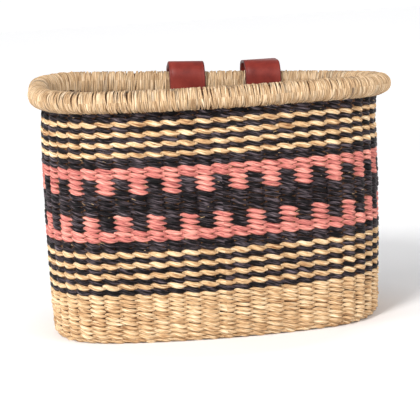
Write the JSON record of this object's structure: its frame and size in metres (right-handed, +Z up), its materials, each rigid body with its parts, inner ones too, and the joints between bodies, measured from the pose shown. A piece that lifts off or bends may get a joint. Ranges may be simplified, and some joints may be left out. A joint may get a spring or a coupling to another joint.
{
  "type": "twined bicycle basket",
  "caption": "Twined grass basket with a flat back, bowed front, wrapped rim, striped and checked bands, and two buckled leather straps that loop over a handlebar.",
  "frame": {"origin": "on the floor under the middle of the woven body; the straps shift the middle of the bounding box backward", "axes": "+Z up, the flat back and the straps face +Y, the bowed front faces -Y, +X to the right seen from the front"},
  "size_m": [0.364, 0.2475, 0.26],
  "materials": {
    "natural_straw": "matt twined grass",
    "rim_straw": "matt grass wrap",
    "black_straw": "dyed grass with a slight sheen",
    "pink_straw": "dyed grass with a slight sheen",
    "leather": "smooth, burnished edges",
    "stitch_thread": "waxed thread",
    "brass": "worn satin"
  },
  "bodies": {
    "basket": {"base_panel": "natural_straw", "inner_weft": "natural_straw", "stakes": "rim_straw", "lower_wall_natural": "natural_straw", "lower_stripes_dark": "black_straw", "lower_stripes_natural": "natural_straw", "lower_border_black": "black_straw", "pink_band_lower": "pink_straw", "check_band_lower": "pink_straw", "centre_band_black": "black_straw", "check_band_upper": "pink_straw", "pink_band_upper": "pink_straw", "upper_border_black": "black_straw", "upper_stripes_dark": "black_straw", "upper_stripes_natural": "natural_straw", "top_border_black": "black_straw", "rim_core": "rim_straw", "rim_wrap": "rim_straw", "strap_left": "leather", "strap_right": "leather", "strap_stitches_left": "stitch_thread", "strap_stitches_right": "stitch_thread", "buckle_anchor_left": "leather", "buckle_anchor_right": "leather", "anchor_stitches_left": "stitch_thread", "anchor_stitches_right": "stitch_thread"},
    "tail_left": {"strap_tail_left": "leather"},
    "hanger_left": {"buckle_strap_left": "leather", "fold_stitches_left": "stitch_thread"},
    "frame_left": {"buckle_frame_left": "brass"},
    "prong_left": {"buckle_prong_left": "brass"},
    "keeper_left": {"keeper_left": "leather"},
    "tail_right": {"strap_tail_right": "leather"},
    "hanger_right": {"buckle_strap_right": "leather", "fold_stitches_right": "stitch_thread"},
    "frame_right": {"buckle_frame_right": "brass"},
    "prong_right": {"buckle_prong_right": "brass"},
    "keeper_right": {"keeper_right": "leather"}
  },
  "joints": [
    {"name": "tail_swing_left", "type": "hinge", "parent": "basket", "child": "tail_left", "pos_m": [-0.014, 0.13734, 0.22596], "axis": [1, 0, 0], "range_deg": [0, 80]},
    {"name": "hanger_swing_left", "type": "hinge", "parent": "basket", "child": "hanger_left", "pos_m": [-0.014, 0.09768, 0.178], "axis": [1, 0, 0], "range_deg": [0, 25]},
    {"name": "frame_turn_left", "type": "hinge", "parent": "hanger_left", "child": "frame_left", "pos_m": [-0.014, 0.09893, 0.118], "axis": [1, 0, 0], "range_deg": [0, 30]},
    {"name": "prong_turn_left", "type": "hinge", "parent": "frame_left", "child": "prong_left", "pos_m": [-0.014, 0.09893, 0.118], "axis": [1, 0, 0], "range_deg": [0, 90]},
    {"name": "keeper_slide_left", "type": "slide", "parent": "hanger_left", "child": "keeper_left", "axis": [0, 0, 1], "range_m": [0, 0.02]},
    {"name": "tail_swing_right", "type": "hinge", "parent": "basket", "child": "tail_right", "pos_m": [0.066, 0.13734, 0.22596], "axis": [1, 0, 0], "range_deg": [0, 80]},
    {"name": "hanger_swing_right", "type": "hinge", "parent": "basket", "child": "hanger_right", "pos_m": [0.066, 0.09768, 0.178], "axis": [1, 0, 0], "range_deg": [0, 25]},
    {"name": "frame_turn_right", "type": "hinge", "parent": "hanger_right", "child": "frame_right", "pos_m": [0.066, 0.09893, 0.118], "axis": [1, 0, 0], "range_deg": [0, 30]},
    {"name": "prong_turn_right", "type": "hinge", "parent": "frame_right", "child": "prong_right", "pos_m": [0.066, 0.09893, 0.118], "axis": [1, 0, 0], "range_deg": [0, 90]},
    {"name": "keeper_slide_right", "type": "slide", "parent": "hanger_right", "child": "keeper_right", "axis": [0, 0, 1], "range_m": [0, 0.02]}
  ]
}
